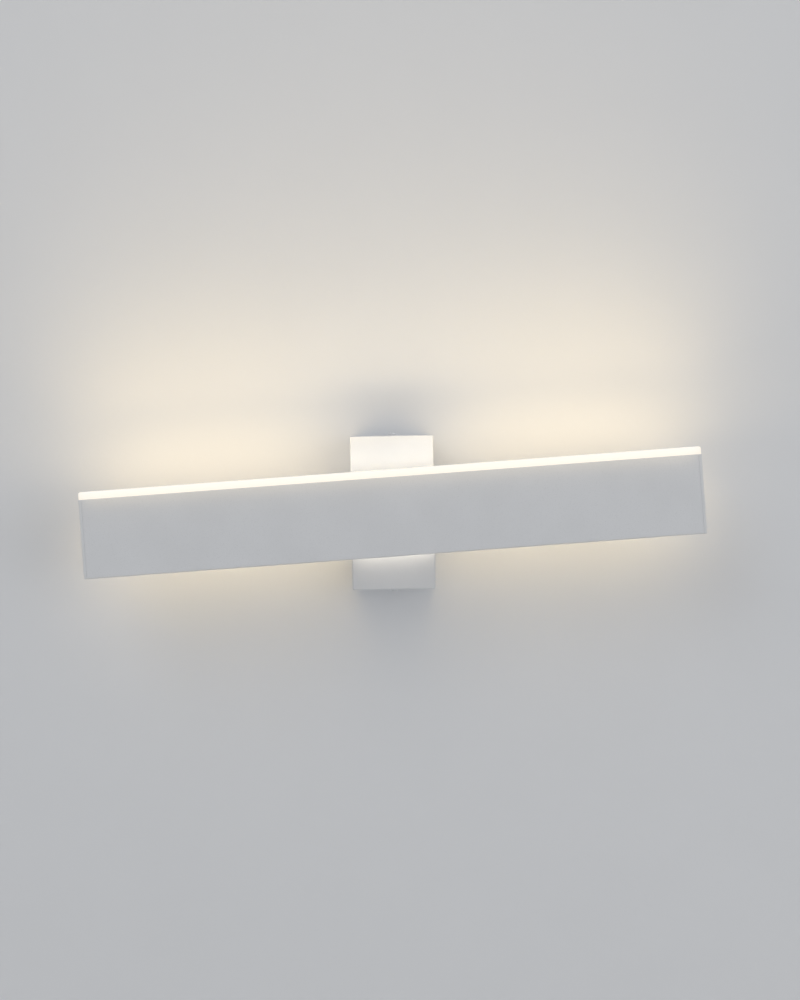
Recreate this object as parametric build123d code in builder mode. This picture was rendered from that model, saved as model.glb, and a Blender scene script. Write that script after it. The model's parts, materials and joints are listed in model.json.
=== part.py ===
"""Swivelling light bar for a wall: a slim box carries a long bar on a friction swivel at its middle.

Millimetres. +Z is up, +Y points into the wall and the light faces -Y. The origin is on the swivel's
axis, in the plane of the wall.
"""

import os
from math import asin, cos, degrees, pi, radians, sin, tan

from build123d import *

# ---------------------------------------------------------------- driving sizes

bar_turn = 3.2  # degrees that the bar stands off level, its right end up

# box on the wall
base_width = 55.0
base_height = 102.0
base_depth = 36.0
cover_wall = 2.0
cover_corner = 1.2  # outer radius of the long corners
cover_edge = 0.8  # rounding round the front face
fixing_depth = 9.0  # from the wall to the screws that hold the cover

# light bar
bar_length = 400.0  # over both end caps
bar_height = 51.0
bar_depth = 25.0
bar_wall = 1.6
bar_corner = 0.8
swivel_gap = 9.0  # between the box's face and the bar's back
end_cap_thickness = 2.0
end_cap_bevel = 0.25  # round its inner face, so that a fine groove shows against the bar

# opal cover
diffuser_stand = 5.0  # how far it stands out of the bar
diffuser_wall = 1.8
diffuser_corner = 1.4
diffuser_side_gap = 0.15

# wall bracket
bracket_sheet = 1.5
bracket_side_gap = 5.5  # between its plate and the cover's side
bracket_bend = 1.0  # inner radius of its bends
bracket_corner = 3.0
tab_width = 16.0
tab_depth = 15.0
slot_spacing = 68.0
slot_length = 14.0
slot_width = 4.5
cable_bore = 4.0  # radius of the way in for the supply cable
grommet_wall = 2.0
grommet_flange = 1.5

# swivel
stem_radius = 5.0
stem_bore = 3.25
stem_flange = 2.0
stem_flange_radius = 10.3
stem_flange_clear = 0.5  # below the rib under the tray
stem_screw_ring = 7.4  # radius at which the flange's screws stand
stem_flat = 4.2  # from the axis to each of the two flats
collar_radius = 14.0
bush_wall = 2.0
bush_flange = 1.0
bush_flange_radius = 11.0
friction_radius = 10.0
friction_sheet = 1.0
stop_sheet = 1.5
stop_reach = 13.5  # from the axis to the tip of the stop washer's tongue
stop_tongue = 2.0  # width of that tongue
stop_pin_radius = 1.0
stop_pin_ring = 12.0
stop_pin_seat = 1.2  # depth of its blind hole in the cover
spring_radius = 9.0
spring_sheet = 0.6
spring_rise = 0.6
nut_flats = 14.0
nut_height = 3.0
stem_over = 1.0  # thread that stands out of the last nut
bore_over = 1.0  # depth of a screw's bore past its tip

# light engine
rib = 1.2  # thickness of the ribs inside the bar
tray_sheet = 1.5
tray_drop = 11.0  # from the bar's upper rim down to the tray's underside
shoulder_drop = 4.8  # from that rim down to the ribs that the opal cover snaps on
board_width = 12.0
board_sheet = 1.6
chip_pitch = 8.0
chip_length = 3.5
chip_width = 2.8
chip_height = 0.7
board_end = 2.0  # between the board and each end cap
tray_end = 0.5
row_side = 3.7  # from the row of chips to the board's screws, and to its lead on the other side
connector_length = 8.0
connector_width = 4.2
connector_height = 3.4
lead_hole_step = 3  # pitches from the middle to the lead's way up
port_radius = 2.9  # screw ports in the bar's lower corners
cap_tongue_length = 6.0
cap_tongue_sheet = 1.5

# driver and terminals
driver_depth = 19.0
driver_wall = 1.2
driver_ear = 6.0
driver_side_gap = 0.5  # between its ear and the cover
driver_ear_sheet = 2.0
driver_ear_height = 8.0
driver_boss_length = 6.0
driver_boss_radius = 2.9
driver_boss_floor = 0.5
driver_corner = 1.5
driver_inner_corner = 0.6
lid_rim = 1.5  # how far the lid's rim goes into the case
lid_rim_wall = 1.0
driver_clear = 4.0  # under the tip of the turning tongue
driver_lift = 2.0  # above the cover's floor
post_radius = 1.5
post_height = 2.0
board_corner = 0.8
component_drop = 2.0  # transformer below the driver's middle
component_room = 3.0  # between the transformer and the lid
component_inset = 1.0  # from the board's edge
component_gap = 1.1
transformer_share = 0.426  # its part of the board's width
transformer_width = 11.0
transformer_plate = 1.6
winding_step = 1.0  # from the flange's edge to the winding
capacitor_share = 0.75  # the small capacitor's size against the large one's
capacitor_drop = 2.5
filter_height = 6.5
filter_gap = 4.5  # from the transformer to the row of filter parts
fuse_radius = 2.8
film_length = 6.0
film_width = 3.2
bridge_length = 5.0
bridge_width = 4.5
pole_pitch = 9.0
pole_count = 3
terminal_height = 14.0
terminal_depth = 12.0
tube_inset = 1.0  # from the block's ends to the tubes
tube_radius = 2.2
tube_bore = 1.5
tube_axis = 5.5  # above the bracket
terminal_lift = 2.0  # above the grommet's rim
terminal_chamfer = 1.5
terminal_groove = 1.0  # width of the grooves between the poles
pole_screw_shift = 3.6
fixing_recess = 4.0
well_depth = 3.0
earth_inset = 6.0  # from the bracket's edge to the earth screw
earth_drop = 9.0  # below the swivel's axis
tag_sheet = 0.8
tag_rim = 0.4  # washer of the tag past the screw's head
tag_reach = 4.5  # from the earth screw to the tag's barrel
barrel_length = 5.0
barrel_wall = 0.6

# leads
core_radius = 0.9
lead_radius = 1.4
lead_bend = 10.0  # the widest arc that a lead takes
lead_tail = 4.0  # bared end inside the driver and the terminals
lead_drop = 5.0  # straight stretch below the terminals
lead_rise = 6.0  # straight stretch above the driver
lead_stand = 10.0  # from the stem's mouth back to the lead's last turn
lead_inset = 3.0  # from the driver's side to its first supply lead
lead_pitch = 4.5  # between the two supply leads
lead_cross = 2.5  # below the swivel's axis, where the supply leads cross over
lead_below = 4.0  # under the tray, where the light engine's lead turns up

# screws: shank, head, head height, slot width, slot depth
screw_m4 = (2.0, 3.6, 2.4, 1.0, 1.2)
screw_m3 = (1.5, 2.75, 1.8, 0.8, 0.9)
cover_screw = (1.5, 2.75, 2.8, 0.8, 1.2)  # with a tall fillister head
screw_m25 = (1.25, 2.2, 1.5, 0.6, 0.8)
clamp_screw = (1.25, 1.75, 1.2, 0.6, 0.7)
board_screw = (1.25, 2.2, 1.2, 0.6, 0.7)
cover_screw_length = 6.0
stem_screw_length = 8.0
driver_screw_length = 6.0
cap_screw_length = 10.0

# broken edges
edge = 0.4
wide_edge = 0.6

# clearances
slip = 0.2  # a piece that slides into another
close_fit = 0.1  # a hole round a screw, lead or key
run_fit = 0.05  # a shaft that turns in its bush, and a screw in its thread
end_play = 0.1  # along the swivel's axis
pin_fit = 0.02

# ---------------------------------------------------------------- planes and places

wall = Plane.XZ  # x to the right, y up, z out of the wall
level = radians(bar_turn)
bar = Plane(wall.origin, x_dir=(cos(level), 0, sin(level)), z_dir=wall.z_dir)  # turned with the bar


def side_of(face):
    """Plane across a face's length: x out of the wall, y up."""
    return Plane(face.origin, x_dir=face.z_dir, z_dir=-face.x_dir)


def top_of(face):
    """Plane seen from above: x to the right, y towards the wall."""
    return Plane(face.origin, x_dir=face.x_dir, z_dir=face.y_dir)


def seat(face, right, up, out, turned_back=False):
    """Plane for one screw on a face. Its normal points out of the screw's head."""
    normal = -face.z_dir if turned_back else face.z_dir
    return Plane(face.from_local_coords((right, up, out)), x_dir=face.x_dir, z_dir=normal)


wall_side = side_of(wall)
bar_side = side_of(bar)
bar_top = top_of(bar)

inner_width = base_width - 2 * cover_wall
inner_height = base_height - 2 * cover_wall
inner_depth = base_depth - cover_wall

pivot_height = bar_height - tray_drop - rib - stem_flange_clear - stem_flange_radius
bar_back = base_depth + swivel_gap
bar_middle = bar_back + bar_depth / 2
bar_rim = bar_height - pivot_height
profile_length = bar_length - 2 * end_cap_thickness
chamber_half = bar_depth / 2 - bar_wall
bar_floor = bar_wall - pivot_height

bush_end = inner_depth - friction_sheet + slip
stop_front = inner_depth - friction_sheet - end_play
stop_back = stop_front - stop_sheet
spring_back = stop_back - spring_sheet - spring_rise
nut_step = nut_height + close_fit
stem_end = spring_back - 2 * nut_step - stem_over
collar_back = base_depth + bush_flange + end_play
flange_face = bar_back + bar_wall + stem_flange
contact_angle = degrees(asin((stop_tongue / 2 + stop_pin_radius) / stop_pin_ring))

tray_seat = bar_rim - tray_drop
board_seat = tray_seat + tray_sheet
chip_seat = board_seat + board_sheet
shoulder = bar_rim - shoulder_drop
tray_half = chamber_half - slip
opal_half = chamber_half - diffuser_side_gap
board_length = profile_length - 2 * board_end
chip_count = int(board_length / chip_pitch) - 1

bracket_half = inner_height / 2 - slip
bracket_width = inner_width - 2 * bracket_side_gap
plate_height = 2 * (bracket_half - bracket_sheet - bracket_bend)
grommet_radius = cable_bore + grommet_wall
grommet_rim = grommet_radius + grommet_wall

driver_top = -(stop_reach + driver_clear)
driver_bottom = -(inner_height / 2 - driver_lift)
driver_height = driver_top - driver_bottom
driver_middle = (driver_top + driver_bottom) / 2
driver_front = inner_depth - slip
driver_back = driver_front - driver_depth
driver_width = inner_width - 2 * (driver_ear + driver_side_gap)
driver_screw_x = (driver_width + driver_ear) / 2
boss_end = inner_depth - driver_boss_length
driver_floor = driver_front - driver_wall
driver_board_front = driver_floor - post_height
driver_board_back = driver_board_front - board_sheet
driver_lid_inner = driver_back + driver_wall
case_width = driver_width - 2 * driver_wall
case_height = driver_height - 2 * driver_wall

terminal_bottom = grommet_rim + terminal_lift
terminal_middle = terminal_bottom + terminal_height / 2
terminal_width = pole_count * pole_pitch
terminal_face = bracket_sheet + terminal_depth
tube_out = bracket_sheet + tube_axis
pole_places = [(i - (pole_count - 1) / 2) * pole_pitch for i in range(pole_count)]
gap_places = [(a + b) / 2 for a, b in zip(pole_places, pole_places[1:])]

earth_x = bracket_width / 2 - earth_inset
earth_y = -earth_drop

# ---------------------------------------------------------------- shared makers


def keep(builder, label):
    """Labels a finished piece and writes it."""
    builder.part.label = label
    os.makedirs("parts", exist_ok=True)
    export_step(builder.part, f"parts/{label}.step")


def pan_screws(seats, size, length):
    """Slotted pan-head screws, one on each seat."""
    shank, head, head_height, slot, slot_depth = size
    with BuildPart() as screws:
        for place in seats:
            with BuildSketch(place):
                Circle(head)
            extrude(amount=head_height)
            outer = screws.edges(Select.LAST).filter_by(GeomType.CIRCLE)
            chamfer(outer.sort_by(Axis(place.origin, place.z_dir))[-1], head_height / 3)
            with BuildSketch(place):
                Circle(shank)
            extrude(amount=-length)
            tip = screws.edges(Select.LAST).filter_by(GeomType.CIRCLE)
            chamfer(tip.sort_by(Axis(place.origin, place.z_dir))[0], shank / 4)
            with BuildSketch(place.offset(head_height)):
                Rectangle(slot, 3 * head)
            extrude(amount=-slot_depth, mode=Mode.SUBTRACT)
    return screws


def bend_radii(points):
    """Widest arc at each corner that leaves both its runs a straight stretch."""
    runs = [b - a for a, b in zip(points, points[1:])]
    room = [run.length * 0.48 for run in runs]
    turns = [radians(a.get_angle(b)) for a, b in zip(runs, runs[1:])]
    return [
        min(lead_bend, min(before, after) / tan(turn / 2))
        for before, after, turn in zip(room, room[1:], turns)
    ]


def lead(face, places, radius):
    """Round lead along straight runs joined by arcs. The places are right, up and out on a face."""
    points = [face.from_local_coords(Vector(place)) for place in places]
    with BuildPart() as wire:
        with BuildLine():
            route = FilletPolyline(*points, radius=bend_radii(points))
        with BuildSketch(Plane(route @ 0, z_dir=route % 0)):
            Circle(radius)
        sweep(path=route)
    share = wire.part.volume / (pi * radius**2 * route.length)
    print(f"lead: {route.length:.1f} mm long, volume {share:.4f} of section x length")
    return wire


# ---------------------------------------------------------------- box on the wall

cover_top = Plane(wall.from_local_coords((0, 0, fixing_depth)), x_dir=wall.x_dir, z_dir=wall.y_dir)
cover_seats = [
    cover_top.offset(base_height / 2),
    Plane(cover_top.offset(-base_height / 2).origin, x_dir=wall.x_dir, z_dir=-wall.y_dir),
]
driver_places = [(-driver_screw_x, driver_middle), (driver_screw_x, driver_middle)]

with BuildPart() as base_cover:
    with BuildSketch(wall):
        RectangleRounded(base_width, base_height, cover_corner)
    extrude(amount=base_depth)
    fillet(base_cover.faces().sort_by(Axis.Y)[0].edges(), cover_edge)
    with BuildSketch(wall):
        RectangleRounded(inner_width, inner_height, cover_corner)
    extrude(amount=inner_depth, mode=Mode.SUBTRACT)
    with BuildSketch(wall.offset(inner_depth)):
        with Locations(*driver_places):
            Circle(driver_boss_radius)
    extrude(amount=-driver_boss_length)
    with BuildSketch(wall.offset(boss_end)):
        with Locations(*driver_places):
            Circle(screw_m25[0] + run_fit)
    extrude(amount=driver_boss_length - driver_boss_floor, mode=Mode.SUBTRACT)
    with BuildSketch(wall.offset(base_depth)):
        Circle(stem_radius + bush_wall + run_fit)
    extrude(amount=-cover_wall, mode=Mode.SUBTRACT)
    with BuildSketch(wall.offset(inner_depth)):
        with Locations((0, stop_pin_ring)):
            Circle(stop_pin_radius + pin_fit)
    extrude(amount=stop_pin_seat, mode=Mode.SUBTRACT)
    with BuildSketch(cover_top):
        Circle(cover_screw[0] + slip)
    extrude(amount=base_height, both=True, mode=Mode.SUBTRACT)
keep(base_cover, "base_cover")

keep(pan_screws(cover_seats, cover_screw, cover_screw_length), "cover_screws")

with BuildPart() as wall_bracket:
    with BuildSketch(wall):
        RectangleRounded(bracket_width, plate_height, bracket_corner)
    extrude(amount=bracket_sheet)
    with BuildSketch(wall_side) as strip:
        with Locations((tab_depth / 2, 0)):
            Rectangle(tab_depth, 2 * bracket_half)
        fillet(strip.vertices().group_by(Axis.X)[0], bracket_bend + bracket_sheet)
    extrude(amount=tab_width / 2, both=True)
    with BuildSketch(wall_side) as hollow:
        with Locations((bracket_sheet + tab_depth / 2, 0)):
            Rectangle(tab_depth, 2 * (bracket_half - bracket_sheet))
        fillet(hollow.vertices().group_by(Axis.X)[0], bracket_bend)
    extrude(amount=tab_width / 2, both=True, mode=Mode.SUBTRACT)
    with BuildSketch(wall):
        with GridLocations(1, slot_spacing, 1, 2):
            SlotOverall(slot_length, slot_width, rotation=90)
        Circle(grommet_radius + run_fit)
        with Locations(*[(x, terminal_middle) for x in gap_places]):
            Circle(screw_m25[0] + run_fit)
        with Locations((earth_x, earth_y)):
            Circle(screw_m4[0] + run_fit)
    extrude(amount=bracket_sheet, mode=Mode.SUBTRACT)
    with BuildSketch(cover_top):
        Circle(cover_screw[0] + run_fit)
    extrude(amount=base_height, both=True, mode=Mode.SUBTRACT)
keep(wall_bracket, "wall_bracket")

with BuildPart() as cable_grommet:
    with BuildSketch(wall):
        Circle(grommet_radius)
    extrude(amount=bracket_sheet)
    with BuildSketch(wall.offset(bracket_sheet)):
        Circle(grommet_rim)
    extrude(amount=grommet_flange)
    chamfer(cable_grommet.faces().sort_by(Axis.Y)[0].edges(), grommet_flange / 2)
    with BuildSketch(wall):
        Circle(cable_bore)
    extrude(amount=bracket_sheet + grommet_flange, mode=Mode.SUBTRACT)
keep(cable_grommet, "cable_grommet")

# ---------------------------------------------------------------- terminals and earth

with BuildPart() as terminal_block:
    with BuildSketch(wall_side):
        with Locations((bracket_sheet + terminal_depth / 2, terminal_middle)):
            Rectangle(terminal_depth, terminal_height)
    extrude(amount=terminal_width / 2, both=True)
    rim = terminal_block.faces().sort_by(Axis.Y)[0].edges().filter_by(Axis.X)
    chamfer(rim, terminal_chamfer)
    with BuildSketch(wall.offset(terminal_face)):
        with Locations(*[(x, terminal_middle) for x in gap_places]):
            Rectangle(terminal_groove, terminal_height)
    extrude(amount=-terminal_depth / 4, mode=Mode.SUBTRACT)
    with BuildSketch(top_of(wall).offset(terminal_bottom)):
        with Locations(*[(x, -tube_out) for x in pole_places]):
            Circle(tube_radius + run_fit)
    extrude(amount=terminal_height, mode=Mode.SUBTRACT)
    with BuildSketch(wall.offset(terminal_face)):
        for shift in (-pole_screw_shift, pole_screw_shift):
            with Locations(*[(x, terminal_middle + shift) for x in pole_places]):
                Circle(clamp_screw[1] + close_fit)
    extrude(amount=tube_out - terminal_face, mode=Mode.SUBTRACT)
    with BuildSketch(wall.offset(terminal_face)):
        with Locations(*[(x, terminal_middle) for x in gap_places]):
            Circle(screw_m25[1] + close_fit)
    extrude(amount=-fixing_recess, mode=Mode.SUBTRACT)
    with BuildSketch(wall.offset(terminal_face)):
        with Locations(*[(x, terminal_middle) for x in gap_places]):
            Circle(screw_m25[0] + close_fit)
    extrude(amount=-terminal_depth, mode=Mode.SUBTRACT)
keep(terminal_block, "terminal_block")

with BuildPart() as terminal_tubes:
    with BuildSketch(top_of(wall).offset(terminal_bottom + tube_inset)):
        with Locations(*[(x, -tube_out) for x in pole_places]):
            Circle(tube_radius)
            Circle(tube_bore, mode=Mode.SUBTRACT)
    extrude(amount=terminal_height - 2 * tube_inset)
    with BuildSketch(wall.offset(tube_out)):
        for shift in (-pole_screw_shift, pole_screw_shift):
            with Locations(*[(x, terminal_middle + shift) for x in pole_places]):
                Circle(clamp_screw[0] + run_fit)
    extrude(amount=tube_radius + tube_inset, mode=Mode.SUBTRACT)
keep(terminal_tubes, "terminal_tubes")

clamp_height = tube_out + core_radius + close_fit
clamp_seats = [
    seat(wall, x, terminal_middle + shift, terminal_face - well_depth)
    for x in pole_places
    for shift in (-pole_screw_shift, pole_screw_shift)
]
keep(
    pan_screws(clamp_seats, clamp_screw, terminal_face - well_depth - clamp_height),
    "terminal_screws",
)

fixing_out = terminal_face - fixing_recess
keep(
    pan_screws(
        [seat(wall, x, terminal_middle, fixing_out) for x in gap_places],
        screw_m25,
        fixing_out - close_fit,
    ),
    "terminal_fixing_screws",
)

barrel_radius = core_radius + barrel_wall
with BuildPart() as earth_tag:
    with BuildSketch(wall.offset(bracket_sheet)):
        with Locations((earth_x, earth_y)):
            Circle(screw_m4[1] + tag_rim)
        with Locations((earth_x, earth_y + tag_reach / 2)):
            Rectangle(2 * barrel_radius, tag_reach + 1)
        with Locations((earth_x, earth_y)):
            Circle(screw_m4[0] + close_fit, mode=Mode.SUBTRACT)
    extrude(amount=tag_sheet)
    with BuildSketch(top_of(wall).offset(earth_y + tag_reach)):
        with Locations((earth_x, -(bracket_sheet + barrel_radius))):
            Circle(barrel_radius)
    extrude(amount=barrel_length)
    with BuildSketch(top_of(wall).offset(earth_y + tag_reach)):
        with Locations((earth_x, -(bracket_sheet + barrel_radius))):
            Circle(core_radius + run_fit)
    extrude(amount=barrel_length, mode=Mode.SUBTRACT)
keep(earth_tag, "earth_tag")

keep(
    pan_screws(
        [seat(wall, earth_x, earth_y, bracket_sheet + tag_sheet)],
        screw_m4,
        bracket_sheet + tag_sheet - close_fit,
    ),
    "earth_screw",
)

# ---------------------------------------------------------------- driver

core_out = driver_board_back - core_radius - slip
lead_out = driver_board_back - lead_radius - slip
live_x = lead_inset - driver_width / 2
neutral_x = live_x + lead_pitch
output_x = driver_width / 2 - lead_inset - lead_radius
tail_end = driver_top - driver_wall - lead_tail

with BuildPart() as driver_case:
    with BuildSketch(wall.offset(driver_lid_inner)):
        with Locations((0, driver_middle)):
            RectangleRounded(driver_width, driver_height, driver_corner)
    extrude(amount=driver_front - driver_lid_inner)
    with BuildSketch(wall.offset(boss_end)):
        with Locations(*driver_places):
            RectangleRounded(driver_ear, driver_ear_height, driver_corner)
        with Locations((0, driver_middle)):
            Rectangle(driver_width + driver_ear, driver_ear_height)
    extrude(amount=-driver_ear_sheet)
    with BuildSketch(wall.offset(driver_floor)):
        with Locations((0, driver_middle)):
            RectangleRounded(case_width, case_height, driver_inner_corner)
    extrude(amount=driver_lid_inner - driver_floor, mode=Mode.SUBTRACT)
    with BuildSketch(wall.offset(driver_floor)):
        with Locations((0, driver_middle)):
            with GridLocations(driver_width - 5 * post_radius, driver_height - 5 * post_radius, 2, 2):
                Circle(post_radius)
    extrude(amount=-post_height)
    with BuildSketch(wall.offset(boss_end)):
        with Locations(*driver_places):
            Circle(screw_m25[0] + close_fit)
    extrude(amount=-driver_ear_sheet, mode=Mode.SUBTRACT)
    with BuildSketch(top_of(wall).offset(driver_top)):
        with Locations((live_x, -core_out), (neutral_x, -core_out)):
            Circle(core_radius + close_fit)
        with Locations((output_x, -lead_out)):
            Circle(lead_radius + close_fit)
    extrude(amount=-driver_wall, mode=Mode.SUBTRACT)
keep(driver_case, "driver_case")

with BuildPart() as driver_lid:
    with BuildSketch(wall.offset(driver_back)):
        with Locations((0, driver_middle)):
            RectangleRounded(driver_width, driver_height, driver_corner)
    extrude(amount=driver_wall)
    with BuildSketch(wall.offset(driver_lid_inner)):
        with Locations((0, driver_middle)):
            RectangleRounded(case_width - slip, case_height - slip, driver_inner_corner)
            RectangleRounded(
                case_width - slip - 2 * lid_rim_wall,
                case_height - slip - 2 * lid_rim_wall,
                driver_inner_corner,
                mode=Mode.SUBTRACT,
            )
    extrude(amount=lid_rim)
    chamfer(driver_lid.faces().sort_by(Axis.Y)[-1].edges(), edge)
keep(driver_lid, "driver_lid")

driver_board_width = case_width - 2 * slip
with BuildPart() as driver_board:
    with BuildSketch(wall.offset(driver_board_front)):
        with Locations((0, driver_middle)):
            RectangleRounded(driver_board_width, case_height - 2 * slip, board_corner)
    extrude(amount=-board_sheet)
keep(driver_board, "driver_board")

transformer_length = driver_board_width * transformer_share
core_height = driver_board_back - driver_lid_inner - component_room
core_middle = driver_middle - component_drop
with BuildPart() as driver_transformer:
    for out in (driver_board_back, driver_board_back - core_height + transformer_plate):
        with BuildSketch(wall.offset(out)):
            with Locations((0, core_middle)):
                Rectangle(transformer_length - 2 * winding_step, transformer_width)
        extrude(amount=-transformer_plate)
    with BuildSketch(wall.offset(driver_board_back)):
        with Locations((0, core_middle)):
            Ellipse(transformer_length / 2 - 2 * winding_step, transformer_width / 2 - winding_step)
            Rectangle(transformer_length, transformer_width / 2)
    extrude(amount=-core_height)
keep(driver_transformer, "driver_transformer")

component_edge = driver_board_width / 2 - component_inset
large_capacitor = (component_edge - transformer_length / 2 - component_gap) / 2
small_capacitor = large_capacitor * capacitor_share
cans = [
    (large_capacitor - component_edge, large_capacitor, core_height),
    (component_edge - small_capacitor, small_capacitor, core_height * capacitor_share),
]
with BuildPart() as driver_capacitors:
    for right, radius, tall in cans:
        with BuildSketch(wall.offset(driver_board_back)):
            with Locations((right, core_middle - capacitor_drop)):
                Circle(radius)
        extrude(amount=-tall)
        can = driver_capacitors.edges(Select.LAST).filter_by(GeomType.CIRCLE)
        chamfer(can.sort_by(Axis.Y)[-1], edge)
keep(driver_capacitors, "driver_capacitors")

filter_row = core_middle + transformer_width / 2 + filter_gap
with BuildPart() as driver_filter:
    with BuildSketch(wall.offset(driver_board_back)):
        with Locations((-transformer_length / 4, filter_row)):
            Rectangle(film_width, film_length)
        with Locations((transformer_length / 4, filter_row)):
            Circle(fuse_radius)
        with Locations((component_edge - bridge_length / 2, core_middle + bridge_width)):
            Rectangle(bridge_length, bridge_width)
    extrude(amount=-filter_height)
keep(driver_filter, "driver_filter")

keep(
    pan_screws(
        [seat(wall, x, y, boss_end - driver_ear_sheet, turned_back=True) for x, y in driver_places],
        screw_m25,
        driver_screw_length,
    ),
    "driver_screws",
)

# ---------------------------------------------------------------- leads inside the box

lead_in = terminal_bottom + lead_tail
live_route = [
    (pole_places[0], lead_in, tube_out),
    (pole_places[0], terminal_bottom - lead_drop, tube_out),
    (live_x, -lead_cross, tube_out + lead_stand),
    (live_x, driver_top + lead_rise, core_out),
    (live_x, tail_end, core_out),
]
keep(lead(wall, live_route, core_radius), "live_lead")

neutral_route = [
    (pole_places[1], lead_in, tube_out),
    (pole_places[1], terminal_bottom - lead_drop, tube_out),
    (neutral_x, -lead_cross, tube_out + lead_stand * 0.8),
    (neutral_x, driver_top + lead_rise, core_out),
    (neutral_x, tail_end, core_out),
]
keep(lead(wall, neutral_route, core_radius), "neutral_lead")

earth_route = [
    (pole_places[2], lead_in, tube_out),
    (pole_places[2], terminal_bottom - lead_drop * 0.6, tube_out),
    (earth_x, earth_y + tag_reach + barrel_length * 2, bracket_sheet + barrel_radius),
    (earth_x, earth_y + tag_reach + close_fit, bracket_sheet + barrel_radius),
]
keep(lead(wall, earth_route, core_radius), "earth_lead")

output_route = [
    (output_x, tail_end, lead_out),
    (output_x, driver_top + lead_rise, lead_out),
    (output_x * 0.9, 0, stem_end - lead_stand),
    (0, 0, stem_end - lead_stand),
    (0, 0, stem_end),
]
keep(lead(wall, output_route, lead_radius), "output_lead")

# ---------------------------------------------------------------- swivel, fixed side

with BuildPart() as pivot_bush:
    with BuildSketch(wall.offset(bush_end)):
        Circle(stem_radius + bush_wall)
    extrude(amount=base_depth - bush_end)
    with BuildSketch(wall.offset(base_depth)):
        Circle(bush_flange_radius)
    extrude(amount=bush_flange)
    chamfer(pivot_bush.faces().sort_by(Axis.Y)[0].edges(), bush_flange / 3)
    with BuildSketch(wall.offset(bush_end)):
        Circle(stem_radius + run_fit)
    extrude(amount=base_depth + bush_flange - bush_end, mode=Mode.SUBTRACT)
keep(pivot_bush, "pivot_bush")

with BuildPart() as friction_washer:
    with BuildSketch(wall.offset(inner_depth)):
        Circle(friction_radius)
        Circle(stem_radius + bush_wall + close_fit, mode=Mode.SUBTRACT)
    extrude(amount=-friction_sheet)
keep(friction_washer, "friction_washer")

with BuildPart() as stop_pin:
    with BuildSketch(wall.offset(inner_depth + stop_pin_seat)):
        with Locations((0, stop_pin_ring)):
            Circle(stop_pin_radius)
    extrude(amount=stop_back - slip - inner_depth - stop_pin_seat)
    chamfer(stop_pin.faces().sort_by(Axis.Y)[-1].edges(), stop_pin_radius / 4)
keep(stop_pin, "stop_pin")

# ---------------------------------------------------------------- swivel, turning side

screw_ring = [
    (stem_screw_ring * unit.X, stem_screw_ring * unit.Y)
    for unit in (Vector(0, 1).rotate(Axis.Z, angle) for angle in (0, 120, 240))
]

with BuildPart() as pivot_stem:
    with BuildSketch(bar.offset(flange_face)):
        Circle(stem_flange_radius)
    extrude(amount=-stem_flange)
    chamfer(pivot_stem.edges().sort_by(Axis.Y)[0], edge)
    with BuildSketch(bar.offset(flange_face)):
        Circle(stem_radius)
    extrude(amount=stem_end - flange_face)
    chamfer(pivot_stem.faces().sort_by(Axis.Y)[-1].edges(), wide_edge)
    with BuildSketch(bar.offset(stem_end)):
        with GridLocations(1, 2 * (stem_flat + stem_radius), 1, 2):
            Rectangle(3 * stem_radius, 2 * stem_radius)
    extrude(amount=stop_front + close_fit - stem_end, mode=Mode.SUBTRACT)
    with BuildSketch(bar.offset(flange_face)):
        with Locations(*screw_ring):
            Circle(screw_m3[0] + close_fit)
    extrude(amount=-stem_flange, mode=Mode.SUBTRACT)
    with BuildSketch(bar.offset(flange_face)):
        Circle(stem_bore)
    extrude(amount=stem_end - flange_face, mode=Mode.SUBTRACT)
keep(pivot_stem, "pivot_stem")

keep(
    pan_screws([seat(bar, x, y, flange_face) for x, y in screw_ring], screw_m3, stem_screw_length),
    "stem_screws",
)

with BuildPart() as pivot_collar:
    with BuildSketch(bar.offset(collar_back)):
        Circle(collar_radius)
    extrude(amount=bar_back - collar_back)
    chamfer(pivot_collar.edges().group_by(Axis.Y)[-1], wide_edge)
    with BuildSketch(bar.offset(collar_back)):
        Circle(stem_radius + close_fit)
    extrude(amount=bar_back - collar_back, mode=Mode.SUBTRACT)
    with BuildSketch(bar.offset(bar_back)):
        with Locations(*screw_ring):
            Circle(screw_m3[0] + run_fit)
    extrude(amount=bar_wall + stem_flange - stem_screw_length - bore_over, mode=Mode.SUBTRACT)
keep(pivot_collar, "pivot_collar")

with BuildPart() as stop_washer:
    with BuildSketch(bar.offset(stop_front)):
        Circle(friction_radius)
        with Locations((0, -stop_reach / 2)):
            Rectangle(stop_tongue, stop_reach)
        with BuildSketch(mode=Mode.SUBTRACT):
            Circle(stem_radius + close_fit)
            Rectangle(4 * stem_radius, 2 * (stem_flat + close_fit), mode=Mode.INTERSECT)
    extrude(amount=-stop_sheet)
keep(stop_washer, "stop_washer")

with BuildPart() as disc_spring:
    with BuildSketch(bar_side):
        with BuildLine():
            Polyline(
                (stop_back, spring_radius),
                (stop_back - spring_sheet, spring_radius),
                (spring_back, stem_radius + slip),
                (spring_back + spring_sheet, stem_radius + slip),
                close=True,
            )
        make_face()
    revolve(axis=Axis(bar.origin, bar.z_dir))
keep(disc_spring, "disc_spring")

with BuildPart() as swivel_nuts:
    for step in range(2):
        with BuildSketch(bar.offset(spring_back - step * nut_step)):
            RegularPolygon(nut_flats / 2, 6, major_radius=False)
        extrude(amount=-nut_height)
        ends = swivel_nuts.edges(Select.LAST).filter_by(GeomType.LINE).group_by(Axis.Y)
        chamfer(ends[0] + ends[-1], edge)
        with BuildSketch(bar.offset(spring_back - step * nut_step)):
            Circle(stem_radius + run_fit)
        extrude(amount=-nut_height, mode=Mode.SUBTRACT)
keep(swivel_nuts, "swivel_nuts")

# ---------------------------------------------------------------- light bar

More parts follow.
